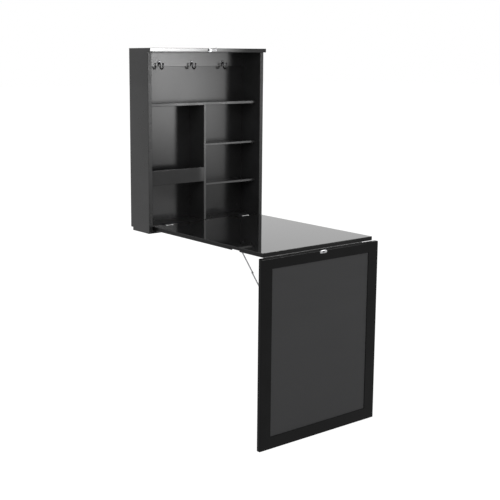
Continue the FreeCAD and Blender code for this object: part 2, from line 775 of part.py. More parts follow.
def catch_arm():
    """A turn button: at rest it points along the board's edge, turned down it bars the leg panel."""
    y0 = catch_arm_back - catch_arm_thickness
    half = catch_arm_width / 2
    bar = block(catch_x, catch_x + catch_arm_length, y0, catch_arm_back, catch_z - half, catch_z + half)
    end = rod((catch_x, y0, catch_z), (0, 1, 0), half + overrun, catch_arm_thickness)
    thumb = block(catch_x + catch_arm_length - catch_thumb_width, catch_x + catch_arm_length,
                  y0, catch_arm_back, catch_z, catch_z + catch_thumb_height)
    arm = united([bar, end, thumb])
    hole = rod((catch_x, y0 - overrun, catch_z), (0, 1, 0), catch_pivot_radius + running_gap,
               catch_arm_thickness + 2 * overrun)
    return arm.cut(hole)


keeper_z = leg_top - keeper_drop


def keeper_screw_points():
    return [(keeper_x + dx, leg_front - keeper_thickness, keeper_z)
            for dx in (-keeper_screw_spacing / 2, keeper_screw_spacing / 2)]


def keeper_oval(length, height, y0, y1):
    """An oval across X about the keeper's middle, from y0 to y1."""
    radius = height / 2
    straight = length / 2 - radius
    ends = (keeper_x - straight, keeper_x + straight)
    parts = [rod((x, y0, keeper_z), (0, 1, 0), radius, y1 - y0) for x in ends]
    parts.append(block(*ends, y0, y1, keeper_z - radius, keeper_z + radius))
    return united(parts)


def keeper():
    face = leg_front - keeper_thickness
    plate = keeper_oval(keeper_length, keeper_height, face, leg_front)
    slot = keeper_oval(keeper_slot_length, keeper_slot_height, face - overrun, leg_front + overrun)
    plate = plate.cut(slot)
    for x, y, z in keeper_screw_points():
        plate = plate.cut(screw_hole(x, y, z, (0, 1, 0), hinge_screw_radius, hinge_screw_length))
    return plate


# ---------------------------------------------------------------- build and write
def build_cabinet():
    boards = {
        "left_side_panel": side_panel(),
        "right_side_panel": mirrored(side_panel()),
        "top_board": top_board(),
        "floor_board": floor_board(),
        "desk_ledge": desk_ledge(),
        "back_panel": back_panel(),
        "upper_wall_rail": wall_rail(top_underside - upper_wall_rail_height, upper_wall_rail_height),
        "lower_wall_rail": wall_rail(desk_height, lower_wall_rail_height),
        "hook_rail": hook_rail(),
        "long_shelf": long_shelf(),
        "divider": divider(),
        "upper_short_shelf": short_shelf(short_shelf_tops[0]),
        "lower_short_shelf": short_shelf(short_shelf_tops[1]),
        "retaining_bar": retaining_bar(),
    }
    large, small = add_cabinet_dowels(boards)
    pins = add_shelf_pins(boards)
    drill_wall_holes(boards)
    for centre in (-desk_hinge_centre, desk_hinge_centre):
        boards["floor_board"] = boards["floor_board"].cut(desk_hinge_recess(centre))
    for x, y, z in desk_hinge_screw_points(1):
        boards["floor_board"] = boards["floor_board"].cut(
            screw_hole(x, y, z, (0, 0, -1), hinge_screw_radius, hinge_screw_length))
    boards["top_board"] = boards["top_board"].cut(catch_stud_hole())
    hook_xs = (-hook_spacing, 0.0, hook_spacing)
    for x in hook_xs:
        boards["hook_rail"] = boards["hook_rail"].cut(hook_stud(x, seat_gap))
    for name, board in boards.items():
        save(name, [board])
    save("board_dowels", large)
    save("small_dowels", small)
    save("shelf_pins", pins)
    for name, x in zip(("left_coat_hook", "middle_coat_hook", "right_coat_hook"), hook_xs):
        save(name, [coat_hook(x)])
    save("coat_hook_studs", [hook_stud(x, 0) for x in hook_xs])
    save("catch_plate", [catch_plate()])
    save("catch_arm", [catch_arm()])


def build_hinges():
    for side_name, centre in (("left", -desk_hinge_centre), ("right", desk_hinge_centre)):
        first, middle, last = desk_hinge_spans(centre)
        cabinet_leaf = desk_hinge_leaf_part(centre, (first, last), 1)
        desk_leaf = desk_hinge_leaf_part(centre, (middle,), -1)
        for x, y, z in desk_hinge_screw_points(1):
            cabinet_leaf = cabinet_leaf.cut(
                screw_hole(x, y, z, (0, 0, -1), hinge_screw_radius, hinge_screw_length))
        for x, y, z in desk_hinge_screw_points(-1):
            desk_leaf = desk_leaf.cut(
                screw_hole(x, y, z, (0, 0, -1), hinge_screw_radius, hinge_screw_length))
        save(side_name + "_hinge_cabinet_leaf", [cabinet_leaf])
        save(side_name + "_hinge_desk_leaf", [desk_leaf])
        save(side_name + "_hinge_pin", [desk_hinge_pin(centre)])
    sizes = (hinge_screw_radius, hinge_screw_length)
    save("cabinet_hinge_screws", [countersunk(*p, (0, 0, -1), *sizes) for p in desk_hinge_screw_points(1)])
    save("desk_hinge_screws", [countersunk(*p, (0, 0, -1), *sizes) for p in desk_hinge_screw_points(-1)])


def build_desk():
    board = desk_top()
    for x, y, z in desk_hinge_screw_points(-1):
        board = board.cut(screw_hole(x, y, z, (0, 0, -1), hinge_screw_radius, hinge_screw_length))
    leaf = leg_hinge_desk_leaf()
    leaf_y = leg_axis_y + (leg_barrel_radius + turn_gap + leg_hinge_leaf) / 2
    screws = []
    for x in leg_hinge_screw_xs():
        place = (x, leaf_y, desk_underside, (0, 0, 1), hinge_screw_radius, hinge_screw_length)
        board = board.cut(screw_hole(*place))
        leaf = leaf.cut(screw_hole(*place))
        screws.append(countersunk(*place))
    save("desk_top", [board])
    save("leg_hinge_desk_leaf", [leaf])
    save("leg_hinge_desk_screws", screws)
    save("leg_hinge_pin", [rod((leg_hinge_left, leg_axis_y, leg_axis_z), (1, 0, 0),
                               leg_hinge_pin_radius, leg_hinge_length)])


def build_leg():
    recess = leg_leaf_recess()
    left = stile().cut(recess)
    right = mirrored(stile()).cut(recess)
    top_rail = leg_rail(leg_top - top_rail_height, leg_top).cut(recess)
    leaf = leg_hinge_leg_leaf()
    leaf_z = leg_axis_z - (leg_barrel_radius + turn_gap + leg_hinge_leaf) / 2
    screws = []
    for x in leg_hinge_screw_xs():
        place = (x, leg_back, leaf_z, (0, -1, 0), hinge_screw_radius, hinge_screw_length)
        hole = screw_hole(*place)
        left = left.cut(hole)
        right = right.cut(hole)
        top_rail = top_rail.cut(hole)
        leaf = leaf.cut(hole)
        screws.append(countersunk(*place))
    keeper_screws = []
    for x, y, z in keeper_screw_points():
        place = (x, y, z, (0, 1, 0), hinge_screw_radius, hinge_screw_length)
        top_rail = top_rail.cut(screw_hole(*place))
        keeper_screws.append(countersunk(*place))
    save("left_stile", [left])
    save("right_stile", [right])
    save("leg_top_rail", [top_rail])
    save("leg_bottom_rail", [leg_rail(0, bottom_rail_height)])
    save("chalkboard", [chalkboard()])
    save("leg_hinge_leg_leaf", [leaf])
    save("leg_hinge_leg_screws", screws)
    save("keeper", [keeper()])
    save("keeper_screws", keeper_screws)


def build_stays():
    pieces = {"desk_bracket": desk_bracket(), "upper_arm": upper_arm(), "lower_arm": lower_arm(),
              "leg_bracket": leg_bracket(), "desk_rivet": desk_rivet(), "leg_rivet": leg_rivet()}
    for name, piece in pieces.items():
        save("left_stay_" + name, [piece])
        save("right_stay_" + name, [mirrored(piece)])


def print_joints():
    """The values that the record needs, in its own frame."""
    print("origin height over the floor", origin_z)
    print("desk axis", axis_y, axis_z - origin_z)
    print("leg axis", leg_axis_y, leg_axis_z - origin_z)
    print("stay desk pivot", stay_desk_y, stay_desk_z - origin_z, "leg pivot", stay_leg_y,
          stay_leg_z - origin_z)
    slope = math.degrees(stay_slope)
    print("stay turns: upper", 180 - slope, "lower", 90 + slope, "lengths", stay_upper_length,
          stay_lower_length)
    print("catch pivot", catch_x, top_front, catch_z - origin_z)
    print("wall fixings", 2 * fixing_half_span, fixing_upper_z - fixing_lower_z)


os.makedirs("parts", exist_ok=True)
build_cabinet()
build_hinges()
build_desk()
build_leg()
build_stays()
print_joints()
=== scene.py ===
import json
import math

import bmesh
import bpy
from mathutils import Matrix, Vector


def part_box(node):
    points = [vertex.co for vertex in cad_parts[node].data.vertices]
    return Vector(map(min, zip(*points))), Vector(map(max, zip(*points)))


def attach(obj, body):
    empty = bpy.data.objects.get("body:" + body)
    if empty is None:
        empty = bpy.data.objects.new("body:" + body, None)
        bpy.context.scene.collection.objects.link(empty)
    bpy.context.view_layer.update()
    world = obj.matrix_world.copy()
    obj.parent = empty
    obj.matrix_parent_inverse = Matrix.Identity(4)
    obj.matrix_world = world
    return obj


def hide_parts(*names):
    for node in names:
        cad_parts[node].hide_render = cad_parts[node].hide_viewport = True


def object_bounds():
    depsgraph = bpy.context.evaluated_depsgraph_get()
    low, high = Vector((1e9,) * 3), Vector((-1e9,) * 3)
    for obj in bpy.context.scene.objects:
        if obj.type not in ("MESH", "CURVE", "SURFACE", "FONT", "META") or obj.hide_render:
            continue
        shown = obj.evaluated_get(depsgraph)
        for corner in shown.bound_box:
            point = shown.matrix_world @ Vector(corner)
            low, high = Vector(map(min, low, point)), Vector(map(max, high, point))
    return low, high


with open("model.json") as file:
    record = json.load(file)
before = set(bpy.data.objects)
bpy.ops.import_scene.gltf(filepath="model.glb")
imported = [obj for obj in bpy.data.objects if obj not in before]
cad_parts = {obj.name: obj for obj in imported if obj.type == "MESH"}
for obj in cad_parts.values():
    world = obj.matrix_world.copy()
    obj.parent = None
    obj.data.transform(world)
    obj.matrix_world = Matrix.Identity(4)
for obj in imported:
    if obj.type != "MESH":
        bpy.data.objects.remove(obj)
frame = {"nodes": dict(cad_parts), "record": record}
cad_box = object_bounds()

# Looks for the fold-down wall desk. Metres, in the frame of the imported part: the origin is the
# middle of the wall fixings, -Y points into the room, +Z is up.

FLOOR_Z = cad_box[0][2]

# ---------------------------------------------------------------- camera, as fitted to the view
CAMERA_PLACE = Vector((-2.4415, -3.3412, FLOOR_Z + 1.4064))
CAMERA_YAW = math.radians(-36.81)
CAMERA_PITCH = math.radians(-9.53)
FOCAL_PIXELS = 961.8
IMAGE_PIXELS = 500.0
OPTICAL_CENTRE = (200.0, 220.0)
SENSOR_MM = 36.0
CAMERA_REACH = 200.0

# ---------------------------------------------------------------- light
# Soft panels of light stand in front, to the right: what faces the room mirrors them. Each has
# its reach across and up, its brightness, and the share of each side over which it fades:
# left, right, bottom, top. They show in gloss and metal, fainter in a reflection of a
# reflection, and add no light to matte surfaces.
WORLD_FILL = 0.6
PANEL_Y = -3.45
PANELS = {
    "glow": ((1.8, 3.05), (FLOOR_Z + 0.44, FLOOR_Z + 1.455), 13.5, (0.14, 0.5, 0.8, 0.02)),
    "low_glow": ((2.45, 2.95), (FLOOR_Z + 0.25, FLOOR_Z + 1.0), 3.4, (0.12, 0.2, 0.4, 0.4)),
    "strip": ((1.84, 2.95), (FLOOR_Z + 1.463, FLOOR_Z + 1.495), 52.0, (0.02, 0.97, 0.1, 0.1)),
    "crown": ((1.84, 2.42), (FLOOR_Z + 1.51, FLOOR_Z + 1.7), 60.0, (0.05, 0.95, 0.05, 0.6)),
}
PANEL_STEP = 0.01
PANEL_SECOND_SHARE = 0.35
FIRST_REFLECTION, SECOND_REFLECTION = 2.0, 3.0
FILL_PLACE = Vector((-2.6, -2.2, FLOOR_Z + 2.6))
FILL_AIM = Vector((0.0, -0.2, FLOOR_Z + 1.0))
FILL_SIZE = (2.0, 2.0)
FILL_POWER = 40.0

FLOOR_HALF = 40.0
FLOOR_COLOUR = 0.86
FLOOR_GLOW_SHARE = 0.7
FLOOR_GLOW = 1.3

# ---------------------------------------------------------------- finishes
LACQUER_BLUE_SHARE = 1.03
COAT_ROUGH_SHARE = 0.6
COAT_IOR = 1.5
METAL_WORN_SHARE = 0.82
METAL_ROUGH_SHARES = (0.7, 1.5)

# ---------------------------------------------------------------- sizes of the added pieces
# Where a name ends in SHARE or SHAPE, its numbers are shares of the size that they shape.
MM = 0.001
SMOOTH_ANGLE = math.radians(35)
BEVEL_STEPS = 3

HOOK_PLATE_THICKNESS = 2.4 * MM
HOOK_PLATE_FLAT_SHARE = 0.8
HOOK_PLATE_CENTRE_SHARE = 0.9
HOOK_RIM_SQUARE_SHARE = 0.2
HOOK_RIM_STEPS = 10
HOOK_ROD = 2.8 * MM
HOOK_ROD_END_SHARE = 0.8
HOOK_NECK = 5.0 * MM
HOOK_NECK_STEPS = 8
HOOK_BEND_STEPS = 20
HOOK_RISE = 11.0 * MM
HOOK_TIP = 3.8 * MM
HOOK_TIP_STEPS = 12
HOOK_TIP_SEGMENTS = 24

SCREW_SHANK = 1.5 * MM
SCREW_TIP_SHARE = 0.2
SCREW_HEAD = 3.0 * MM
SCREW_LENGTH = 11.0 * MM
SCREW_LIFT = 0.1 * MM
SCREW_DOME_SHAPE = ((0.98, 0.35), (0.86, 0.75), (0.72, 1.0))
CROSS_SHARE = 0.62
CROSS_ARM_SHARE = 0.26
CROSS_FOOT_SHARE = 0.6
CROSS_DEPTH_SHARE = 0.45
CROSS_POINTS = 24
LEG_HINGE_SCREWS = 7
KEEPER_SCREWS = 2
BUTTON_HEAD = 4.3 * MM
BUTTON_HEIGHT = 1.7 * MM
HINGE_SCREW_SPACING = 27.0 * MM

# The rib's sections: each one's place along half the rib, and its size.
RIB_RADIUS = 1.7 * MM
RIB_HEIGHT_SHARE = 0.8
RIB_SHAPE = ((-1.0, 0.4), (-0.8, 1.0), (0.8, 1.0), (1.0, 0.4))
RIB_STEPS = 8

STAY_HALF_WIDTH = 2.7 * MM
STAY_PLATE = 2.0 * MM
STAY_BEVEL = 0.25 * MM
STAY_HEAD = 3.3 * MM
STAY_HEAD_HEIGHT = 1.2 * MM
STAY_HEAD_SHAPE = ((1.0, 0.0), (1.0, 0.3), (0.85, 0.72), (0.5, 0.95), (0.0, 1.0))
STAY_HEAD_SEGMENTS = 28

BAND_THICKNESS = 0.4 * MM
BAND_BEVEL = 0.15 * MM
BAND_EASE = 1.2 * MM
BOARD_EASE = 1.0 * MM
NOTCH_GAP = 1.0 * MM

KEEPER_SLOT = (9.0 * MM, 4.4 * MM)
KEEPER_RIM = 0.6 * MM
KEEPER_RIM_SHARE = 0.3

ARM_WIDTH = 9.0 * MM
ARM_BEVEL = 1.3 * MM
ARM_LEAN = 0.035
ARM_ROUND_START = 55.0
ARM_ROUND_SWEEP = 250.0
ARM_ROUND_STEPS = 20
THUMB_WIDTH = 7.0 * MM
# The corners of the catch's bar and thumb piece: from which X and Z line each is measured, and
# how far, as a share of half the bar's width.
ARM_SHAPE = (("end", -1.0, "axis", -1.0), ("end", -0.3, "axis", -0.8), ("end", 0.0, "axis", -0.2),
             ("end", 0.0, "top", -0.6), ("end", -0.4, "top", -0.1), ("thumb", 0.0, "top", 0.0),
             ("root", 0.3, "top", -0.2), ("root", 0.0, "top", -0.8), ("root", -0.4, "axis", 1.0))


# ---------------------------------------------------------------- node helpers
class Nodes:
    """A small wrapper that makes the nodes of one material."""

    def __init__(self, name):
        self.material = bpy.data.materials.new(name)
        self.material.use_nodes = True
        self.tree = self.material.node_tree
        self.tree.nodes.clear()
        self.output = self.tree.nodes.new("ShaderNodeOutputMaterial")

    def add(self, kind, **settings):
        node = self.tree.nodes.new(kind)
        for key, value in settings.items():
            setattr(node, key, value)
        return node

    def link(self, source, target):
        self.tree.links.new(source, target)

    def surface(self, socket):
        self.link(socket, self.output.inputs["Surface"])

    def coordinates(self, stretch=(1.0, 1.0, 1.0)):
        place = self.add("ShaderNodeTexCoord")
        mapping = self.add("ShaderNodeMapping")
        mapping.inputs["Scale"].default_value = stretch
        self.link(place.outputs["Object"], mapping.inputs["Vector"])
        return mapping.outputs["Vector"]

    def noise(self, vector, scale, detail=3.0, rough=0.5):
        node = self.add("ShaderNodeTexNoise")
        node.inputs["Scale"].default_value = scale
        node.inputs["Detail"].default_value = detail
        node.inputs["Roughness"].default_value = rough
        self.link(vector, node.inputs["Vector"])
        return node.outputs["Fac"]

    def ramp(self, factor, low, high, start=0.3, end=0.7):
        node = self.add("ShaderNodeMapRange")
        node.inputs["From Min"].default_value = start
        node.inputs["From Max"].default_value = end
        node.inputs["To Min"].default_value = low
        node.inputs["To Max"].default_value = high
        self.link(factor, node.inputs["Value"])
        return node.outputs["Result"]

    def colours(self, factor, first, second):
        node = self.add("ShaderNodeMix", data_type="RGBA")
        node.inputs["A"].default_value = (*first, 1.0)
        node.inputs["B"].default_value = (*second, 1.0)
        self.link(factor, node.inputs["Factor"])
        return node.outputs["Result"]

    def bump(self, height, strength, distance):
        node = self.add("ShaderNodeBump")
        node.inputs["Strength"].default_value = strength
        node.inputs["Distance"].default_value = distance
        self.link(height, node.inputs["Height"])
        return node.outputs["Normal"]

    def principled(self, **values):
        node = self.add("ShaderNodeBsdfPrincipled")
        for key, value in values.items():
            node.inputs[key.replace("_", " ")].default_value = value
        self.surface(node.outputs["BSDF"])
        return node


# ---------------------------------------------------------------- materials
def lacquer(name, ior, rough, coat=0.0, dark=0.006, light=0.012, peel=0.02, smears=0.25):
    """Black high-gloss lacquer: an almost flat skin with faint orange peel and hand smears."""
    m = Nodes(name)
    place = m.coordinates()
    smear = m.noise(place, scale=9.0, detail=4.0, rough=0.6)
    skin = m.noise(place, scale=420.0, detail=1.0)
    shader = m.principled(IOR=ior, Coat_Weight=coat, Coat_Roughness=rough * COAT_ROUGH_SHARE,
                          Coat_IOR=COAT_IOR)
    pale = (light, light, light * LACQUER_BLUE_SHARE)
    grey = m.colours(m.ramp(smear, low=0.0, high=1.0), (dark, dark, dark), pale)
    m.link(grey, shader.inputs["Base Color"])
    uneven = m.ramp(smear, low=rough * (1.0 - smears), high=rough * (1.0 + smears))
    m.link(uneven, shader.inputs["Roughness"])
    m.link(m.bump(skin, strength=peel, distance=0.0004), shader.inputs["Normal"])
    return m.material


def chalk_paint(name):
    """Matte blackboard paint with faint wiped chalk dust."""
    m = Nodes(name)
    fine = m.noise(m.coordinates(), scale=900.0, detail=2.0)
    wiped = m.noise(m.coordinates(stretch=(1.0, 1.0, 3.5)), scale=3.2, detail=5.0, rough=0.62)
    shader = m.principled(IOR=1.35)
    grey = m.colours(m.ramp(wiped, low=0.0, high=1.0), (0.026, 0.026, 0.027), (0.036, 0.036, 0.037))
    m.link(grey, shader.inputs["Base Color"])
    m.link(m.ramp(wiped, low=0.62, high=0.78), shader.inputs["Roughness"])
    m.link(m.bump(fine, strength=0.18, distance=0.0003), shader.inputs["Normal"])
    return m.material


def metal(name, colour, rough, grain, stretch=(1.0, 1.0, 1.0), strength=0.05):
    """Plated or drawn metal with fine marks along its grain."""
    m = Nodes(name)
    marks = m.noise(m.coordinates(stretch), scale=grain, detail=3.0, rough=0.6)
    stains = m.noise(m.coordinates(), scale=60.0, detail=3.0)
    shader = m.principled(Metallic=1.0)
    worn = tuple(v * METAL_WORN_SHARE for v in colour)
    smoothest, roughest = [rough * share for share in METAL_ROUGH_SHARES]
    m.link(m.colours(m.ramp(stains, low=0.0, high=1.0), worn, colour), shader.inputs["Base Color"])
    m.link(m.ramp(marks, low=smoothest, high=roughest), shader.inputs["Roughness"])
    m.link(m.bump(marks, strength=strength, distance=0.0002), shader.inputs["Normal"])
    return m.material


def timber(name, pale, deep):
    """Bare wood with its grain along X."""
    m = Nodes(name)
    grain = m.noise(m.coordinates(stretch=(1.0, 6.0, 6.0)), scale=40.0, detail=4.0, rough=0.6)
    shader = m.principled(IOR=1.45)
    m.link(m.colours(m.ramp(grain, low=0.0, high=1.0), deep, pale), shader.inputs["Base Color"])
    m.link(m.ramp(grain, low=0.5, high=0.7), shader.inputs["Roughness"])
    m.link(m.bump(grain, strength=0.2, distance=0.0003), shader.inputs["Normal"])
    return m.material


def slot_materials():
    """The material of each slot in the record."""
    plate = {"rough": 0.08, "grain": 300.0}
    return {
        "black_lacquer": lacquer("black_lacquer", ior=1.35, rough=0.035, dark=0.015, light=0.022),
        "black_board": lacquer("black_board", ior=1.3, rough=0.45, dark=0.01, light=0.02, peel=0.1),
        "chalkboard": chalk_paint("chalkboard_paint"),
        "chrome": metal("chrome_plate", (0.42, 0.42, 0.43), **plate),
        "black_nickel": metal("black_nickel_plate", (0.06, 0.06, 0.062), **plate),
        "hinge_steel": metal("hinge_black_plate", (0.03, 0.03, 0.032), rough=0.5, grain=260.0,
                             stretch=(0.2, 1.0, 1.0)),
        "stay_steel": metal("stay_zinc", (0.34, 0.34, 0.35), rough=0.34, grain=340.0,
                            stretch=(1.0, 0.3, 0.3), strength=0.12),
        "screw_steel": metal("screw_zinc", (0.5, 0.5, 0.5), rough=0.25, grain=500.0),
        "beech": timber("beech_dowel", pale=(0.62, 0.46, 0.3), deep=(0.5, 0.35, 0.21)),
    }


def own_materials():
    """The nodes whose material differs from the rest of their slot. The board lacquers are lit and shaded
    copies of one black lacquer: each board's reflection strength and base grey are set on its own, painted
    light where raised and painted shade where lowered.
    """
    # The back panel and hook rail get a raised base grey that lifts their dark reflections: painted light.
    inside = {"rough": 0.2, "dark": 0.014, "light": 0.02, "smears": 0.06}
    own = {
        # Each board's IOR sets how bright its reflections come out, set board by board: painted light on
        # the desk top and hook rail, painted shade on the cabinet floor.
        "desk_top": lacquer("desk_top_lacquer", ior=1.45, rough=0.03, coat=0.12, dark=0.013, light=0.02),
        "back_panel": lacquer("back_panel_lacquer", ior=1.34, **inside),
        "hook_rail": lacquer("hook_rail_lacquer", ior=1.41, **inside),
        "floor_board": lacquer("cabinet_floor_lacquer", ior=1.15, rough=0.3, dark=0.012, light=0.018),
        "top_board": lacquer("top_board_lacquer", ior=1.36, rough=0.035, dark=0.015, light=0.022,
                             peel=0.002),
    }
    leg_hinge = metal("leg_hinge_plate", (0.1, 0.1, 0.1), rough=0.4, grain=260.0, stretch=(0.2, 1.0, 1.0))
    for name in ("leg_hinge_desk_leaf", "leg_hinge_leg_leaf", "leg_hinge_pin"):
        own[name] = leg_hinge
    # The leg frame's lacquer is darkened in base grey and reflection strength: painted shade.
    frame_painted_shade_lacquer = lacquer("leg_frame_lacquer", ior=1.17, rough=0.06, dark=0.003, light=0.006)
    for name in ("left_stile", "right_stile", "leg_top_rail", "leg_bottom_rail"):
        own[name] = frame_painted_shade_lacquer
    return own


def paint_nodes():
    """Give every CAD node its material, and return the materials of the slots."""
    slots = slot_materials()
    own = own_materials()
    for part in frame["record"]["subparts"]:
        node = frame["nodes"][part["node"]]
        material = own.get(part["node"], slots[part["material_slot"]])
        node.data.materials.clear()
        node.data.materials.append(material)
    return slots


# ---------------------------------------------------------------- mesh helpers
def low(node):
    """The corner of a CAD node's box at its least X, Y and Z; high() is the opposite one."""
    return Vector(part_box(node)[0])


def high(node):
    return Vector(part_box(node)[1])


def middle(node):
    return (low(node) + high(node)) / 2


def join_rings(bm, first, second):
    """Faces between two rings of the same count, or between a ring and a single point."""
    count = max(len(first), len(second))
    for i in range(count):
        j = (i + 1) % count
        if len(first) == 1:
            bm.faces.new((first[0], second[j], second[i]))
        elif len(second) == 1:
            bm.faces.new((first[i], first[j], second[0]))
        else:
            bm.faces.new((first[i], first[j], second[j], second[i]))


def turned_to(direction):
    return Vector((0.0, 0.0, 1.0)).rotation_difference(Vector(direction)).to_matrix()


def turned_ring(bm, place, turn, radius, height, angles):
    """A ring of vertices about the axis that turn gives, at a height over place."""
    points = [Vector((radius * math.cos(a), radius * math.sin(a), height)) for a in angles]
    return [bm.verts.new(place + turn @ point) for point in points]


def join_all(bm, rings):
    for first, second in zip(rings, rings[1:]):
        join_rings(bm, first, second)


def close_ends(bm, rings):
    bm.faces.new(rings[0])
    bm.faces.new(rings[-1])


def lathe(bm, profile, place, direction, segments=40):
    """Turn a profile of (radius, height) about the axis that runs from place along direction."""
    turn = turned_to(direction)
    rings = []
    for radius, height in profile:
        count = segments if radius > 0 else 1
        angles = [2 * math.pi * i / segments for i in range(count)]
        rings.append(turned_ring(bm, place, turn, radius, height, angles))
    join_all(bm, rings)


def tube(bm, path, radii, segments=20):
    """A round bar along a path in a plane X = constant."""
    rings = []
    for i, (point, radius) in enumerate(zip(path, radii)):
        along = path[min(i + 1, len(path) - 1)] - path[max(i - 1, 0)]
        side = Vector((1.0, 0.0, 0.0))
        up = along.cross(side).normalized()
        angles = [2 * math.pi * k / segments for k in range(segments)]
        rings.append([bm.verts.new(point + side * radius * math.cos(a) + up * radius * math.sin(a))
                      for a in angles])
    join_all(bm, rings)
    close_ends(bm, rings)


def arc(x, y, z, radius, start, end, steps=12):
    """Points of an arc in the plane X = x; angles in degrees from +Y towards +Z."""
    angles = [math.radians(start + (end - start) * i / steps) for i in range(steps + 1)]
    return [Vector((x, y + radius * math.cos(a), z + radius * math.sin(a))) for a in angles]


def prism(bm, outline, shift):
    """A solid between an outline and its copy moved by shift."""
    near_side = [bm.verts.new(p) for p in outline]
    far_side = [bm.verts.new(p + shift) for p in outline]
    join_rings(bm, near_side, far_side)
    close_ends(bm, (near_side, far_side))


def add_piece(name, bm, material, body, replaced=(), bevel=0.0):
    """Turn a bmesh into a smooth piece that rides on a body and stands for some nodes."""
    bmesh.ops.recalc_face_normals(bm, faces=bm.faces)
    mesh = bpy.data.meshes.new(name)
    bm.to_mesh(mesh)
    bm.free()
    mesh.polygons.foreach_set("use_smooth", [True] * len(mesh.polygons))
    mesh.set_sharp_from_angle(angle=SMOOTH_ANGLE)
    mesh.materials.append(material)
    piece = bpy.data.objects.new(name, mesh)
    bpy.context.scene.collection.objects.link(piece)
    if bevel:
        rounding = piece.modifiers.new("edges", "BEVEL")
        rounding.width = bevel
        rounding.segments = BEVEL_STEPS
        rounding.angle_limit = SMOOTH_ANGLE
    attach(piece, body)
    if replaced:
        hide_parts(*replaced)
    return piece


# ---------------------------------------------------------------- coat hooks
def hook_path(x, rail_y, top_z, bend_z, stem_y, rise_y):
    """The line of the rod: out of the plate, down, round the bend and up to the tip."""
    bend_radius = (stem_y - rise_y) / 2
    path = [Vector((x, rail_y - HOOK_PLATE_THICKNESS / 2, top_z))]
    path += arc(x, stem_y + HOOK_NECK, top_z - HOOK_NECK, HOOK_NECK, 90, 180, HOOK_NECK_STEPS)
    path += arc(x, stem_y - bend_radius, bend_z, bend_radius, 0, -180, HOOK_BEND_STEPS)
    path.append(Vector((x, rise_y, bend_z + HOOK_RISE / 2)))
    path.append(Vector((x, rise_y, bend_z + HOOK_RISE)))
    return path


def hook_plate(radius):
    """The profile of the round plate: flat in the middle, with a rounded rim."""
    flat = radius * HOOK_PLATE_FLAT_SHARE
    square = HOOK_RIM_SQUARE_SHARE
    profile = [(0.0, 0.0), (radius, 0.0)]
    for i in range(HOOK_RIM_STEPS + 1):
        angle = math.pi / 2 * i / HOOK_RIM_STEPS
        height = HOOK_PLATE_THICKNESS * (square + (1.0 - square) * math.sin(angle))
        profile.append((flat + (radius - flat) * math.cos(angle), height))
    return profile + [(flat * HOOK_PLATE_CENTRE_SHARE, HOOK_PLATE_THICKNESS), (0.0, HOOK_PLATE_THICKNESS)]


def ball_profile(radius, steps):
    angles = [math.pi * i / steps for i in range(1, steps)]
    turned = [(radius * math.sin(a), -radius * math.cos(a)) for a in angles]
    return [(0.0, -radius)] + turned + [(0.0, radius)]


def coat_hook(name, material):
    bottom, top = low(name), high(name)
    x, rail_y = middle(name).x, top.y
    plate_radius = (top.x - bottom.x) / 2
    centre_z = top.z - plate_radius
    stem_y = rail_y - HOOK_PLATE_THICKNESS - HOOK_NECK
    rise_y = bottom.y + HOOK_TIP
    bend_z = bottom.z + HOOK_ROD + (stem_y - rise_y) / 2
    bm = bmesh.new()
    path = hook_path(x, rail_y, centre_z, bend_z, stem_y, rise_y)
    tube(bm, path, [HOOK_ROD] * (len(path) - 1) + [HOOK_ROD * HOOK_ROD_END_SHARE])
    lathe(bm, hook_plate(plate_radius), Vector((x, rail_y, centre_z)), (0, -1, 0))
    lathe(bm, ball_profile(HOOK_TIP, HOOK_TIP_STEPS), path[-1], (0, 0, 1), HOOK_TIP_SEGMENTS)
    add_piece("dressed_" + name, bm, material, "cabinet", (name,))


# ---------------------------------------------------------------- screws
def cross_ring(bm, place, turn, size, depth):
    """The CROSS_POINTS points of a cross recess, a quarter at a time."""
    half = size * CROSS_ARM_SHARE
    corners = [(half, -half), (size, -half), (size, half)]
    points = []
    for quarter in range(4):
        angle = quarter * math.pi / 2
        following = corners[1:] + [(half, half)]
        for (x0, y0), (x1, y1) in zip(corners, following):
            for x, y in ((x0, y0), ((x0 + x1) / 2, (y0 + y1) / 2)):
                points.append((x * math.cos(angle) - y * math.sin(angle),
                               x * math.sin(angle) + y * math.cos(angle)))
    return [bm.verts.new(place + turn @ Vector((x, y, depth))) for x, y in points]


def screw(bm, place, direction, head, dome):
    """A wood screw with a cross recess; direction points out of the wood, dome is the head's rise."""
    turn = turned_to(direction)
    cross = head * CROSS_SHARE
    profile = [(SCREW_SHANK * SCREW_TIP_SHARE, -SCREW_LENGTH),
               (SCREW_SHANK, -SCREW_LENGTH + 2 * SCREW_SHANK), (SCREW_SHANK, SCREW_SHANK - SCREW_HEAD),
               (min(head, SCREW_HEAD), 0.0), (head, 0.0)]
    profile += [(head * out, dome * up) for out, up in SCREW_DOME_SHAPE]
    angles = [-math.pi / 4 + 2 * math.pi * i / CROSS_POINTS for i in range(CROSS_POINTS)]
    rings = [turned_ring(bm, place, turn, radius, height, angles) for radius, height in profile]
    rings.append(cross_ring(bm, place, turn, cross, dome))
    rings.append(cross_ring(bm, place, turn, cross * CROSS_FOOT_SHARE, dome - head * CROSS_DEPTH_SHARE))
    join_all(bm, rings)
    close_ends(bm, rings)


def screws(name, node, xs, direction, material, body, head=SCREW_HEAD, dome=SCREW_LIFT, sunk=0.0):
    """A row of screws that stands for a node: at the node's outer face, at the given places along X."""
    centre = middle(node)
    outward = Vector(direction)
    face = centre.copy()
    for axis in range(3):
        if outward[axis]:
            face[axis] = high(node)[axis] if outward[axis] > 0 else low(node)[axis]
    face -= outward * sunk
    bm = bmesh.new()
    for x in xs:
        screw(bm, Vector((x, face.y, face.z)), direction, head, dome)
    add_piece(name, bm, material, body, (node,))


def evenly(node, count):
    first, last = low(node).x + SCREW_HEAD, high(node).x - SCREW_HEAD
    return [first + (last - first) * i / (count - 1) for i in range(count)]


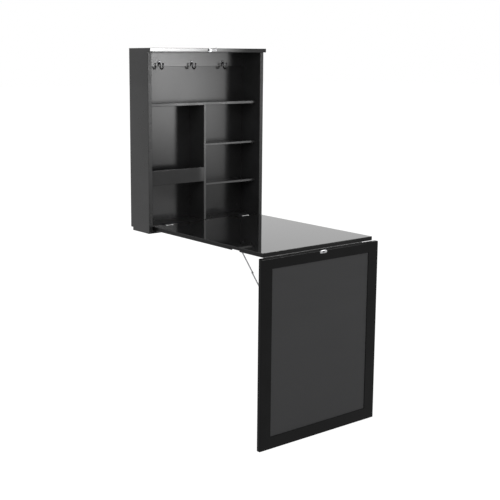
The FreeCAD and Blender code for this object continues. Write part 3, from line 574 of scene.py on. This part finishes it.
def all_screws(metals, buttons):
    outer = high("desk_hinge_screws").x - SCREW_HEAD
    inner = outer - HINGE_SCREW_SPACING
    pairs = (-outer, -inner, inner, outer)
    dark, bright = metals["hinge_steel"], metals["screw_steel"]
    screws("desk_hinge_buttons", "desk_hinge_screws", pairs, (0, 0, 1), buttons, "desk",
           head=BUTTON_HEAD, dome=BUTTON_HEIGHT)
    screws("cabinet_hinge_heads", "cabinet_hinge_screws", pairs, (0, 0, 1), dark, "cabinet")
    leg_xs = evenly("leg_hinge_desk_screws", LEG_HINGE_SCREWS)
    screws("leg_hinge_desk_heads", "leg_hinge_desk_screws", leg_xs, (0, 0, -1), bright, "desk")
    screws("leg_hinge_leg_heads", "leg_hinge_leg_screws", leg_xs, (0, 1, 0), bright, "leg")
    keeper_xs = evenly("keeper_screws", KEEPER_SCREWS)
    screws("keeper_heads", "keeper_screws", keeper_xs, (0, -1, 0), bright, "leg", sunk=SCREW_LIFT)


def hinge_ribs(material):
    """The pressed rib between the two button heads of each desk leaf."""
    for side, node in (("left", "left_hinge_desk_leaf"), ("right", "right_hinge_desk_leaf")):
        centre = Vector((middle(node).x, middle("desk_hinge_screws").y, high("desk_hinge_screws").z))
        half = HINGE_SCREW_SPACING / 2
        bm = bmesh.new()
        angles = [math.pi * i / RIB_STEPS for i in range(RIB_STEPS + 1)]
        rings = []
        for share, size in RIB_SHAPE:
            radius = size * RIB_RADIUS
            section = [Vector((half * share, radius * math.cos(a), radius * math.sin(a) * RIB_HEIGHT_SHARE))
                       for a in angles]
            rings.append([bm.verts.new(centre + point) for point in section])
        join_all(bm, rings)
        close_ends(bm, rings)
        add_piece(side + "_hinge_rib", bm, material, "desk")


# ---------------------------------------------------------------- folding stays
def bar_outline(x, start, end, half_width, steps=12):
    """The outline of a flat bar with round ends, from start to end, each (y, z)."""
    along = math.degrees(math.atan2(end[1] - start[1], end[0] - start[0]))
    return (arc(x, *end, half_width, along - 90, along + 90, steps)
            + arc(x, *start, half_width, along + 90, along + 270, steps))


def stay_arm(name, body, start, middle_pivot, material, outward):
    """A stamped arm with a rolled edge and a domed rivet head at the middle pivot."""
    x0, x1 = low(name).x, high(name).x
    plate_x = x1 - STAY_PLATE if outward < 0 else x0
    bm = bmesh.new()
    prism(bm, bar_outline(plate_x, start, middle_pivot, STAY_HALF_WIDTH), Vector((STAY_PLATE, 0.0, 0.0)))
    face_x = plate_x if outward < 0 else plate_x + STAY_PLATE
    dome = [(STAY_HEAD * out, STAY_HEAD_HEIGHT * up) for out, up in STAY_HEAD_SHAPE]
    lathe(bm, dome, Vector((face_x, *middle_pivot)), (outward, 0, 0), STAY_HEAD_SEGMENTS)
    add_piece("dressed_" + name, bm, material, body, (name,), bevel=STAY_BEVEL)


def stays(material):
    for side, sign in (("left", 1), ("right", -1)):
        upper, lower = side + "_stay_upper_arm", side + "_stay_lower_arm"
        pivot = (low(upper).y + STAY_HEAD, low(upper).z + STAY_HEAD)
        desk_end = (high(upper).y - STAY_HALF_WIDTH, high(upper).z - STAY_HALF_WIDTH)
        leg_end = (low(lower).y + STAY_HALF_WIDTH, low(lower).z + STAY_HALF_WIDTH)
        stay_arm(upper, side + "_upper_arm", desk_end, pivot, material, sign)
        stay_arm(lower, side + "_lower_arm", leg_end, pivot, material, -sign)


# ---------------------------------------------------------------- catch and keeper
def oval(length, height, x, y, z, count=16):
    """Points of an oval about (x, y, z), long across X, in the plane Y = y."""
    radius = height / 2
    straight = length / 2 - radius
    points = []
    for centre, start in ((straight, -90), (-straight, 90)):
        for i in range(count + 1):
            angle = math.radians(start + 180 * i / count)
            points.append(Vector((x + centre + radius * math.cos(angle), y, z + radius * math.sin(angle))))
    return points


def keeper(material):
    bottom, top = low("keeper"), high("keeper")
    bottom.y += 2 * SCREW_LIFT
    length, height = top.x - bottom.x, top.z - bottom.z
    x, z = middle("keeper").x, middle("keeper").z
    rim = KEEPER_RIM
    bm = bmesh.new()
    rings = []
    for shape, y in (((length, height), top.y), ((length, height), bottom.y + rim),
                     ((length - rim, height - rim), bottom.y + rim * KEEPER_RIM_SHARE),
                     ((length - 2 * rim, height - 2 * rim), bottom.y),
                     ((KEEPER_SLOT[0] + rim, KEEPER_SLOT[1] + rim), bottom.y),
                     (KEEPER_SLOT, bottom.y + rim), (KEEPER_SLOT, top.y)):
        rings.append([bm.verts.new(p) for p in oval(*shape, x, y, z)])
    for first, second in zip(rings, rings[1:] + rings[:1]):
        join_rings(bm, first, second)
    add_piece("dressed_keeper", bm, material, "leg", ("keeper",))


def catch_arm(material):
    """A turn button cut from thick sheet: a round end, a tapered bar and an upturned thumb piece."""
    bottom, top = low("catch_arm"), high("catch_arm")
    half = ARM_WIDTH / 2
    x, z = middle("catch_plate").x, middle("catch_plate").z
    x_lines = {"end": top.x, "thumb": top.x - THUMB_WIDTH / 2, "root": top.x - THUMB_WIDTH}
    z_lines = {"axis": z, "top": top.z}
    round_end = x - bottom.x
    outline = []
    for i in range(ARM_ROUND_STEPS + 1):
        angle = math.radians(ARM_ROUND_START + ARM_ROUND_SWEEP * i / ARM_ROUND_STEPS)
        outline.append((x + round_end * math.cos(angle), z + round_end * math.sin(angle)))
    outline += [(x_lines[x_line] + half * right, z_lines[z_line] + half * up)
                for x_line, right, z_line, up in ARM_SHAPE]
    bm = bmesh.new()
    back = [bm.verts.new((px, top.y, pz)) for px, pz in outline]
    front = [bm.verts.new((px, bottom.y + ARM_LEAN * (pz - bottom.z), pz)) for px, pz in outline]
    join_all(bm, (back, front))
    close_ends(bm, (back, front))
    add_piece("dressed_catch_arm", bm, material, "catch", ("catch_arm",), bevel=ARM_BEVEL)


# ---------------------------------------------------------------- edge bands
def bracket_notch():
    """Where the flap's side edges open for the leg's stay brackets once folded: (y, y, top z)."""
    pin = middle("leg_hinge_pin")
    bracket_low, bracket_high = low("left_stay_leg_bracket"), high("left_stay_leg_bracket")
    near_y = pin.y + pin.z - bracket_high.z - NOTCH_GAP
    far_y = pin.y + pin.z - bracket_low.z + NOTCH_GAP
    return near_y, far_y, pin.z + bracket_high.y - pin.y + NOTCH_GAP


def band(name, node, body, side, ease, material, notch=None):
    """The glued-on band of one edge of a board: side is the way that the edge faces."""
    bottom, top = low(node), high(node)
    outward = Vector(side)
    corners = [bottom.copy(), top.copy()]
    for axis in range(3):
        if outward[axis]:
            face = top[axis] if outward[axis] > 0 else bottom[axis]
            corners[0][axis] = corners[1][axis] = face
        elif axis == 2 or outward.x == 0:
            corners[0][axis] += ease
            corners[1][axis] -= ease
    first, last = corners
    if outward.x:
        points = [(first.y, last.z), (first.y, first.z)]
        if notch:
            near_y, far_y, roof = notch
            points += [(near_y, first.z), (near_y, roof), (far_y, roof), (far_y, first.z)]
        points += [(last.y, first.z), (last.y, last.z)]
        outline = [Vector((first.x, y, z)) for y, z in points]
    else:
        outline = [Vector((x, first.y, z)) for x, z in ((first.x, first.z), (last.x, first.z),
                                                       (last.x, last.z), (first.x, last.z))]
    bm = bmesh.new()
    prism(bm, outline, outward * BAND_THICKNESS)
    add_piece(name, bm, material, body, bevel=BAND_BEVEL)


def edge_bands(flap_band, side_band, carcass_band):
    for side, x in (("left", -1.0), ("right", 1.0)):
        band(side + "_flap_band", "desk_top", "desk", (x, 0.0, 0.0), BAND_EASE, flap_band, bracket_notch())
    band("flap_front_band", "desk_top", "desk", (0.0, -1.0, 0.0), BAND_EASE, flap_band)
    for node in ("left_side_panel", "right_side_panel"):
        band(node + "_band", node, "cabinet", (0.0, -1.0, 0.0), BOARD_EASE, side_band)
    for node in ("divider", "long_shelf", "upper_short_shelf", "lower_short_shelf"):
        band(node + "_band", node, "cabinet", (0.0, -1.0, 0.0), BOARD_EASE, carcass_band)


def dress():
    metals = paint_nodes()
    buttons = metal("button_satin_nickel", (0.8, 0.8, 0.8), rough=0.5, grain=500.0)
    for name in ("left_coat_hook", "middle_coat_hook", "right_coat_hook"):
        coat_hook(name, metals["black_nickel"])
    all_screws(metals, buttons)
    hinge_ribs(buttons)
    stays(metals["stay_steel"])
    keeper(metal("keeper_chrome", (0.32, 0.32, 0.33), rough=0.2, grain=300.0))
    catch_arm(metal("catch_chrome", (0.45, 0.45, 0.46), rough=0.1, grain=300.0))
    # The three band lacquers are lit and shaded copies of one edge band: the flap's band is darkened and
    # the carcass bands lightened in base grey and reflection strength, painted shade and painted highlight.
    satin = {"rough": 0.3, "peel": 0.06}
    edge_bands(lacquer("flap_edge_band_painted_shade", ior=1.2, dark=0.004, light=0.008, **satin),
               lacquer("side_edge_band", ior=1.34, dark=0.012, light=0.018, **satin),
               lacquer("carcass_edge_band_painted_highlight", ior=1.47, dark=0.018, light=0.026, **satin))


# ---------------------------------------------------------------- studio
def white_background():
    world = bpy.data.worlds.new("studio")
    bpy.context.scene.world = world
    world.use_nodes = True
    tree = world.node_tree
    tree.nodes.clear()
    output = tree.nodes.new("ShaderNodeOutputWorld")
    seen = seen_directly(tree)
    strength = tree.nodes.new("ShaderNodeMapRange")
    strength.inputs["To Min"].default_value = WORLD_FILL
    strength.inputs["To Max"].default_value = 1.0
    tree.links.new(seen, strength.inputs["Value"])
    background = tree.nodes.new("ShaderNodeBackground")
    background.inputs["Color"].default_value = (1.0, 1.0, 1.0, 1.0)
    tree.links.new(strength.outputs["Result"], background.inputs["Strength"])
    tree.links.new(background.outputs["Background"], output.inputs["Surface"])


def seen_directly(tree):
    """A socket that is 1 for camera, glossy and transmission rays."""
    path = tree.nodes.new("ShaderNodeLightPath")
    total = path.outputs["Is Camera Ray"]
    for name in ("Is Glossy Ray", "Is Transmission Ray"):
        larger = tree.nodes.new("ShaderNodeMath")
        larger.operation = "MAXIMUM"
        tree.links.new(total, larger.inputs[0])
        tree.links.new(path.outputs[name], larger.inputs[1])
        total = larger.outputs[0]
    return total


def pale_floor():
    mesh = bpy.data.meshes.new("floor")
    corners = [(-FLOOR_HALF, -FLOOR_HALF), (FLOOR_HALF, -FLOOR_HALF), (FLOOR_HALF, FLOOR_HALF),
               (-FLOOR_HALF, FLOOR_HALF)]
    mesh.from_pydata([(x, y, FLOOR_Z) for x, y in corners], [], [(0, 1, 2, 3)])
    floor = bpy.data.objects.new("floor", mesh)
    bpy.context.scene.collection.objects.link(floor)
    m = Nodes("floor_paint")
    diffuse = m.add("ShaderNodeBsdfDiffuse")
    diffuse.inputs["Color"].default_value = (FLOOR_COLOUR, FLOOR_COLOUR, FLOOR_COLOUR, 1.0)
    glow = m.add("ShaderNodeEmission")
    glow.inputs["Strength"].default_value = FLOOR_GLOW
    share = m.add("ShaderNodeMapRange")
    share.inputs["To Max"].default_value = FLOOR_GLOW_SHARE
    m.link(seen_directly(m.tree), share.inputs["Value"])
    mix = m.add("ShaderNodeMixShader")
    m.link(share.outputs["Result"], mix.inputs["Fac"])
    m.link(diffuse.outputs["BSDF"], mix.inputs[1])
    m.link(glow.outputs["Emission"], mix.inputs[2])
    m.surface(mix.outputs["Shader"])
    mesh.materials.append(m.material)


def area_lamp(name, place, facing, size, power):
    """A rectangular lamp at place that shines along facing."""
    data = bpy.data.lights.new(name, "AREA")
    data.shape = "RECTANGLE"
    data.size, data.size_y = size
    data.energy = power
    lamp = bpy.data.objects.new(name, data)
    lamp.location = place
    lamp.rotation_euler = facing.to_track_quat("-Z", "Y").to_euler()
    bpy.context.scene.collection.objects.link(lamp)
    return lamp


def fade(tree, value, share, rising):
    """A socket that goes smoothly from 0 to 1 over a share of one side of a lamp."""
    node = tree.nodes.new("ShaderNodeMapRange")
    node.interpolation_type = "SMOOTHSTEP"
    node.inputs["From Min"].default_value = 0.0 if rising else 1.0
    node.inputs["From Max"].default_value = share if rising else 1.0 - share
    tree.links.new(value, node.inputs["Value"])
    return node.outputs["Result"]


def reflection_share(tree):
    """A socket that is 1 in the first reflection, and less in a reflection of a reflection."""
    share = tree.nodes.new("ShaderNodeMapRange")
    share.inputs["From Min"].default_value = FIRST_REFLECTION
    share.inputs["From Max"].default_value = SECOND_REFLECTION
    share.inputs["To Min"].default_value = 1.0
    share.inputs["To Max"].default_value = PANEL_SECOND_SHARE
    tree.links.new(tree.nodes.new("ShaderNodeLightPath").outputs["Ray Depth"], share.inputs["Value"])
    return share.outputs["Result"]


def light_panel(name, across, height, radiance, fades, step):
    """An upright soft panel of light that faces the wall and fades out towards its edges."""
    size = (across[1] - across[0], height[1] - height[0])
    place = Vector((sum(across) / 2, PANEL_Y + step, sum(height) / 2))
    lamp = area_lamp(name, place, Vector((0.0, 1.0, 0.0)), size, radiance * math.pi * size[0] * size[1])
    lamp.visible_diffuse = False
    lamp.data.use_nodes = True
    tree = lamp.data.node_tree
    parts = tree.nodes.new("ShaderNodeSeparateXYZ")
    tree.links.new(tree.nodes.new("ShaderNodeNewGeometry").outputs["Parametric"], parts.inputs["Vector"])
    strength = reflection_share(tree)
    for axis, share, rising in (("X", fades[0], True), ("X", fades[1], False),
                                ("Y", fades[2], True), ("Y", fades[3], False)):
        product = tree.nodes.new("ShaderNodeMath")
        product.operation = "MULTIPLY"
        tree.links.new(strength, product.inputs[0])
        tree.links.new(fade(tree, parts.outputs[axis], share, rising), product.inputs[1])
        strength = product.outputs["Value"]
    emission = next(node for node in tree.nodes if node.type == "EMISSION")
    tree.links.new(strength, emission.inputs["Strength"])


def camera():
    data = bpy.data.cameras.new("camera")
    data.sensor_width = SENSOR_MM
    data.lens = FOCAL_PIXELS * SENSOR_MM / IMAGE_PIXELS
    data.shift_x = 0.5 - OPTICAL_CENTRE[0] / IMAGE_PIXELS
    data.shift_y = OPTICAL_CENTRE[1] / IMAGE_PIXELS - 0.5
    data.clip_end = CAMERA_REACH
    eye = bpy.data.objects.new("camera", data)
    eye.location = CAMERA_PLACE
    eye.rotation_euler = (math.pi / 2 + CAMERA_PITCH, 0.0, CAMERA_YAW)
    bpy.context.scene.collection.objects.link(eye)
    bpy.context.scene.camera = eye


def studio():
    white_background()
    pale_floor()
    for step, (name, settings) in enumerate(PANELS.items()):
        light_panel(name, *settings, step * PANEL_STEP)
    area_lamp("fill", FILL_PLACE, FILL_AIM - FILL_PLACE, FILL_SIZE, FILL_POWER)
    camera()
    bpy.context.scene.view_settings.view_transform = "Standard"


dress()
studio()
